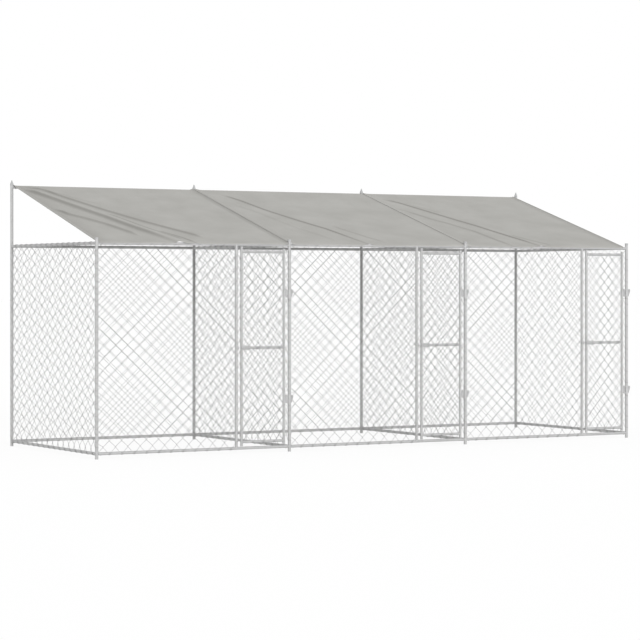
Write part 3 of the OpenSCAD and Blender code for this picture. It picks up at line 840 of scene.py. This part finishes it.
def cloth_grid(bm, i, columns, over, uv):
    """Adds a grid of cloth with the given shares across; uv gives each point's place in the cut."""
    cut = bm.loops.layers.uv.verify()
    painted_shade = bm.verts.layers.float.get("painted_shade") or bm.verts.layers.float.new("painted_shade")
    last_column, last_row = len(columns) - 1, len(CLOTH_ROWS) - 1
    made = bmesh.ops.create_grid(bm, x_segments=last_column, y_segments=last_row, size=1)
    spots = {}
    for vert in made["verts"]:
        across = columns[round((vert.co.x + 1) / 2 * last_column)]
        down = CLOTH_ROWS[round((vert.co.y + 1) / 2 * last_row)]
        spots[vert] = (across, down)
        vert.co = cloth_point(i, across, down, over)
        # Painted shade of the point, kept for the cloth's colour
        vert[painted_shade] = cloth_folds(i, vert.co.x, slope_share(down))[1]
    for face in {face for vert in made["verts"] for face in vert.link_faces}:
        face.smooth = True
        for loop in face.loops:
            loop[cut].uv = uv(*spots[loop.vert])


def cloth_piece(name, bm):
    mesh = bpy.data.meshes.new(name)
    bmesh.ops.recalc_face_normals(bm, faces=bm.faces)
    bm.to_mesh(mesh)
    bm.free()
    mesh.uv_layers[0].name = "cut"
    piece = link(name, mesh)
    solid = piece.modifiers.new("thickness", "SOLIDIFY")
    solid.thickness = CLOTH_T
    solid.offset = 0
    return piece


def make_cloth(i):
    sheet = bmesh.new()
    cloth_grid(sheet, i, CLOTH_COLUMNS, 0, lambda across, down: ((i + across) * BAY_W, down))
    cloth = cloth_piece(f"roof_cloth_{i + 1}", sheet)
    return dress(cloth, CLOTH, "frame", "roof_fabric", f"roof_sheet_{i + 1}")


def make_hem(i, edges):
    """Hems that lie on a sheet along the edges that show."""
    hems = bmesh.new()
    for edge in edges:
        columns = steps_between(abs(edge - HEM_W / BAY_W), edge, HEM_COLUMNS)
        cloth_grid(
            hems, i, columns, CLOTH_T,
            lambda across, down, edge=edge: (abs(across - edge) * BAY_W, down),
        )
    return dress(cloth_piece(f"roof_hem_{i + 1}", hems), HEM, "frame", "roof_fabric")


def make_rolls(i, edges):
    """Rolled edges of a sheet: thick at the ends of the roof, thin at a lap and along the front."""
    rolls = []
    for edge in edges:
        at_end = (i, edge) in ((0, 0), (BAYS - 1, 1))
        name, radius = ("end", END_ROLL_R) if at_end else ("lap", EDGE_BEAD_R)
        side = [cloth_point(i, edge, down, radius - CLOTH_T / 2) for down in CLOTH_ROWS]
        rolls.append(bent_wire(f"roof_{name}_roll_{i + 1}", [side], radius))
    front = [cloth_point(i, across, CLOTH_L) for across in CLOTH_COLUMNS]
    rolls.append(bent_wire(f"roof_front_roll_{i + 1}", [front], FRONT_BEAD_R))
    return [dress(roll, EDGE, "frame", "roof_fabric") for roll in rolls]


def make_roof():
    for i in range(BAYS):
        edges = (0, 1) if i == BAYS - 1 else (0,)
        cloth = make_cloth(i)
        trim = [make_hem(i, edges), *make_rolls(i, edges)]


# Stage

def seen_directly(tree):
    """1 on rays from the camera and on mirrored and transmitted rays, else 0."""
    path = add_node(tree, "ShaderNodeLightPath").outputs
    seen = maths(tree, "ADD", path["Is Camera Ray"], path["Is Glossy Ray"])
    return maths(tree, "ADD", seen, path["Is Transmission Ray"], use_clamp=True)


def make_floor():
    bm = bmesh.new()
    bmesh.ops.create_grid(bm, x_segments=1, y_segments=1, size=FLOOR_SIZE / 2)
    mesh = bpy.data.meshes.new("floor")
    bm.to_mesh(mesh)
    bm.free()
    floor = link("floor", mesh)
    material, tree, shader = new_finish("pale_floor")
    shader.inputs["Base Color"].default_value = (FLOOR_BOUNCE, FLOOR_BOUNCE, FLOOR_BOUNCE, 1)
    shader.inputs["Roughness"].default_value = 1.0
    shader.inputs["Specular IOR Level"].default_value = 0.0
    white = add_node(tree, "ShaderNodeBsdfDiffuse", inputs={"Color": WHITE}).outputs["BSDF"]
    glow = add_node(tree, "ShaderNodeEmission").outputs["Emission"]
    shown = mixed_shader(tree, FLOOR_GLOW, white, glow)
    surface = mixed_shader(tree, seen_directly(tree), shader.outputs["BSDF"], shown)
    tree.links.new(surface, tree.nodes["Material Output"].inputs["Surface"])
    mesh.materials.append(material)


def make_light():
    world = bpy.data.worlds.new("white_surround")
    bpy.context.scene.world = world
    world.use_nodes = True
    tree = world.node_tree
    light = tree.nodes["Background"]
    light.inputs["Color"].default_value = WHITE
    light.inputs["Strength"].default_value = WORLD_LIGHT
    white = add_node(tree, "ShaderNodeBackground", inputs={"Color": WHITE, "Strength": 1.0})
    surface = mixed_shader(
        tree, seen_directly(tree), light.outputs["Background"], white.outputs["Background"]
    )
    tree.links.new(surface, tree.nodes["World Output"].inputs["Surface"])
    lamp = bpy.data.lights.new("soft_sun", "SUN")
    lamp.energy = SUN_POWER
    lamp.angle = math.radians(SUN_SOFTNESS)
    sun = link("soft_sun", lamp)
    sun.rotation_euler = [math.radians(a) for a in SUN_TURN]


def make_camera():
    lens = bpy.data.cameras.new("camera")
    lens.sensor_width = CAMERA_SENSOR_W
    lens.lens = CAMERA_LENS
    lens.shift_x, lens.shift_y = CAMERA_SHIFT
    camera = link("camera", lens)
    camera.location = CAMERA_PLACE
    camera.rotation_euler = [math.radians(a) for a in CAMERA_TURN]
    bpy.context.scene.camera = camera


make_camera()
finish_nodes()
weave_walls()
weave_doors()
weld_doors()
make_roof()
make_floor()
make_light()
bpy.context.scene.view_settings.view_transform = "Standard"
